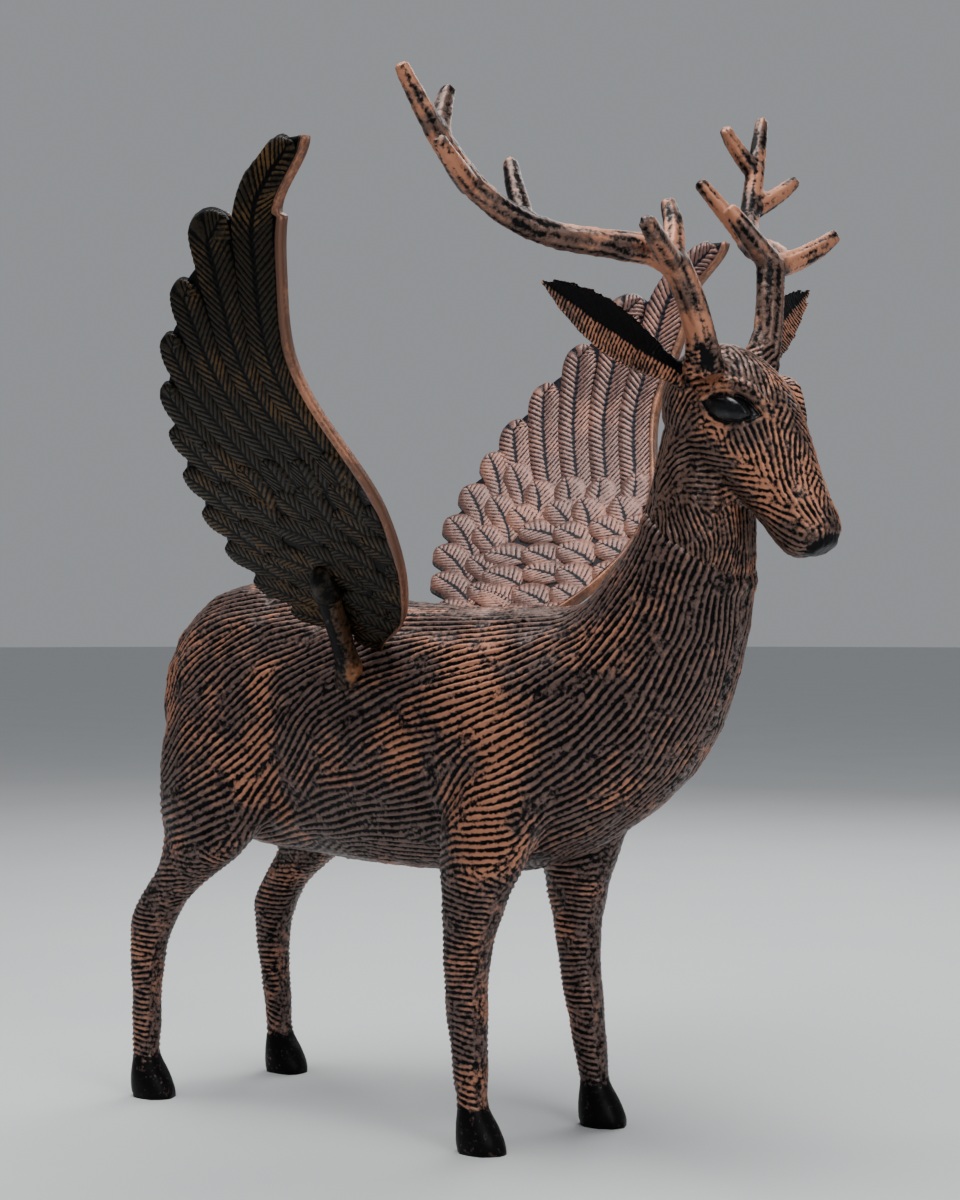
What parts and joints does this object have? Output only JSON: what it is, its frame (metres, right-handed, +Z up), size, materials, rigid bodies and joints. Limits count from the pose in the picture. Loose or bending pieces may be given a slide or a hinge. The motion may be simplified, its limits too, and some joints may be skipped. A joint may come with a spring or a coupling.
{
  "type": "winged stag garden sculpture",
  "caption": "Standing stag with branched antlers and upright feathered wings, cast in metal, with combed fur grooves all over.",
  "frame": {"origin": "on the ground, at the middle of the box around the whole sculpture", "axes": "+X forward, the way the stag faces; +Y to the stag's left; +Z up"},
  "size_m": [0.8998, 0.8036, 1.1491],
  "materials": {
    "body_finish": "satin near-black with copper rubbed on the raised fur",
    "head_finish": "satin, copper rubbed more strongly over a near-black ground",
    "wing_finish": "satin near-black with copper rubbed on the feathers"
  },
  "bodies": {
    "root": {"deer_body": "body_finish", "deer_head": "head_finish", "wing_right": "wing_finish", "wing_left": "wing_finish", "wing_strut_right": "wing_finish", "wing_strut_left": "wing_finish"}
  },
  "joints": []
}
